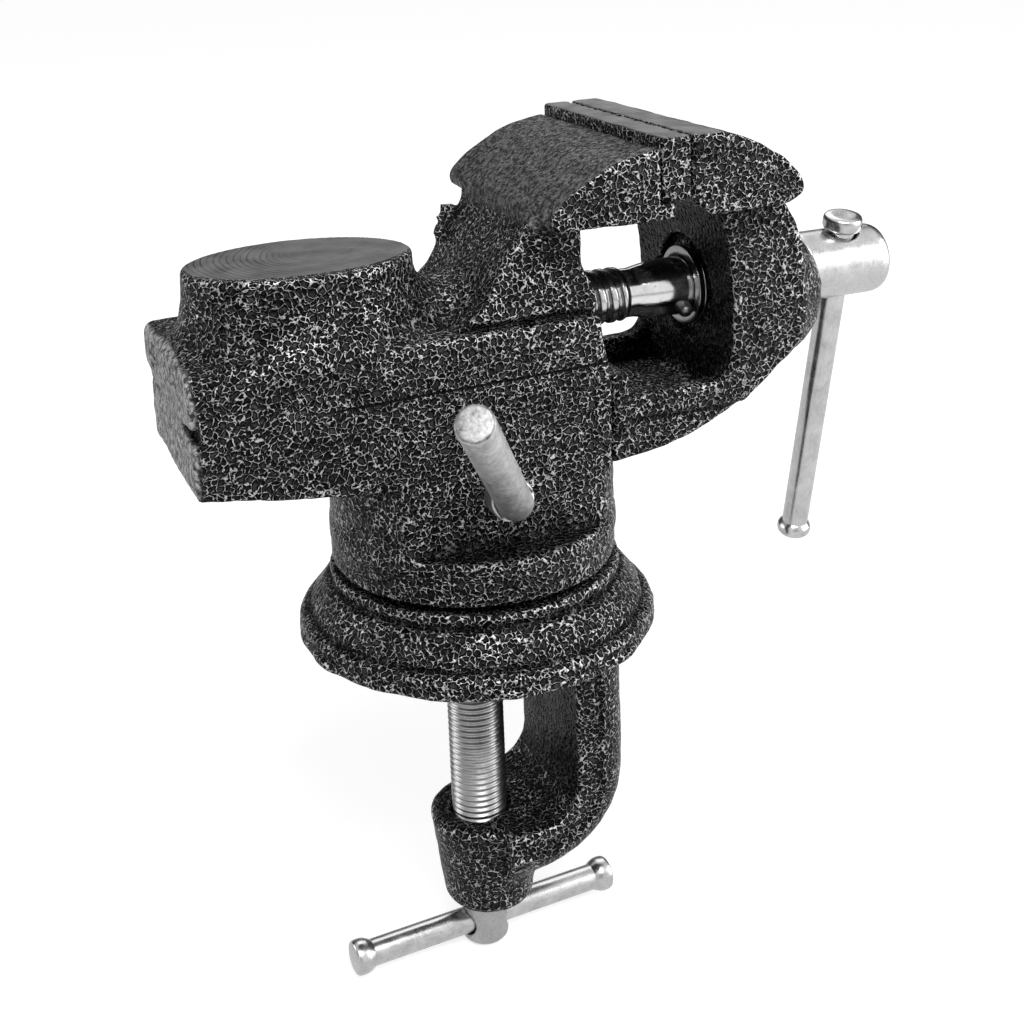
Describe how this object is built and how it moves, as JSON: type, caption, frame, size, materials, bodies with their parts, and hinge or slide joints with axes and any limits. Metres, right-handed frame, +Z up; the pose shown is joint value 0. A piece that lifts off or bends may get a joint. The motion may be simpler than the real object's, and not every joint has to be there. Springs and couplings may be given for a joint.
{
  "type": "swivel vise",
  "caption": "Small clamp-on bench vise with a lockable swivel base, an oval anvil, a sliding jaw on a lead screw and a C-clamp with a tee bar.",
  "frame": {"origin": "on the swivel axis, at the flat underside of the round base", "axes": "+Z up along the swivel axis, +X from the anvil towards the spindle handle, -Y the side of the lock lever"},
  "size_m": [0.1447, 0.0903, 0.1672],
  "materials": {
    "base_paint": "charcoal hammertone enamel on cast iron",
    "body_paint": "charcoal hammertone enamel on cast iron",
    "moving_jaw_paint": "charcoal hammertone enamel on cast iron",
    "jaw_plate_steel": "ground steel with painted ends",
    "plate_screw_steel": "bare turned steel, oiled and dark",
    "nut_steel": "bare steel inside the body",
    "spindle_steel": "bare turned steel, oiled and dark",
    "washer_steel": "bare turned steel, oiled and dark",
    "cross_pin_steel": "bare turned steel, oiled and dark",
    "handle_zinc": "bright zinc plate",
    "handle_cap_zinc": "bright zinc plate",
    "clamp_screw_zinc": "bright zinc plate",
    "pad_zinc": "bright zinc plate",
    "tee_bar_zinc": "bright zinc plate",
    "tee_cap_zinc": "bright zinc plate",
    "lock_zinc": "bright zinc plate",
    "lock_rod_zinc": "bright zinc plate"
  },
  "bodies": {
    "clamp_base": {"clamp_base_casting": "base_paint"},
    "vise_body": {"vise_body_casting": "body_paint", "fixed_jaw_plate": "jaw_plate_steel", "jaw_plate_screw_near": "plate_screw_steel", "jaw_plate_screw_far": "plate_screw_steel", "spindle_nut": "nut_steel"},
    "swivel_lock": {"lock_screw": "lock_zinc", "lock_lever_rod": "lock_rod_zinc"},
    "moving_jaw": {"moving_jaw_casting": "moving_jaw_paint"},
    "spindle": {"spindle_screw": "spindle_steel", "spindle_washer_inner": "washer_steel", "spindle_washer_outer": "washer_steel", "spindle_cross_pin": "cross_pin_steel"},
    "spindle_handle": {"spindle_handle_bar": "handle_zinc", "handle_cap_upper": "handle_cap_zinc", "handle_cap_lower": "handle_cap_zinc"},
    "clamp_pad": {"clamp_pad": "pad_zinc"},
    "clamp_screw": {"clamp_screw": "clamp_screw_zinc"},
    "tee_bar": {"clamp_tee_bar": "tee_bar_zinc", "tee_bar_cap_right": "tee_cap_zinc", "tee_bar_cap_left": "tee_cap_zinc"}
  },
  "joints": [
    {"name": "swivel", "type": "hinge", "parent": "clamp_base", "child": "vise_body", "pos_m": [0, 0, 0.02], "axis": [0, 0, 1], "continuous": true},
    {"name": "lock_turn", "type": "hinge", "parent": "vise_body", "child": "swivel_lock", "pos_m": [-0.001, -0.0216, 0.0331], "axis": [0, -1, 0], "range_deg": [0, 360]},
    {"name": "jaw_slide", "type": "slide", "parent": "vise_body", "child": "moving_jaw", "axis": [1, 0, 0], "range_m": [0, 0.05]},
    {"name": "spindle_turn", "type": "hinge", "parent": "moving_jaw", "child": "spindle", "pos_m": [0.06, 0, 0.06055], "axis": [1, 0, 0], "range_deg": [0, 7200]},
    {"name": "handle_slide", "type": "slide", "parent": "spindle", "child": "spindle_handle", "axis": [0, -0.2079, 0.9781], "range_m": [0, 0.0559]},
    {"name": "clamp_travel", "type": "slide", "parent": "clamp_base", "child": "clamp_pad", "axis": [0, 0, 1], "range_m": [-0.033, 0.002]},
    {"name": "clamp_turn", "type": "hinge", "parent": "clamp_pad", "child": "clamp_screw", "pos_m": [-0.0012, 0, -0.04], "axis": [0, 0, 1], "range_deg": [-9504, 576]},
    {"name": "tee_slide", "type": "slide", "parent": "clamp_screw", "child": "tee_bar", "axis": [0.9973, 0.0732, 0], "range_m": [-0.0203, 0.0203]}
  ],
  "couplings": [
    {"joint": "spindle_turn", "follows": "jaw_slide", "rad_per_m": 2513.3},
    {"joint": "clamp_turn", "follows": "clamp_travel", "rad_per_m": 5026.5}
  ]
}
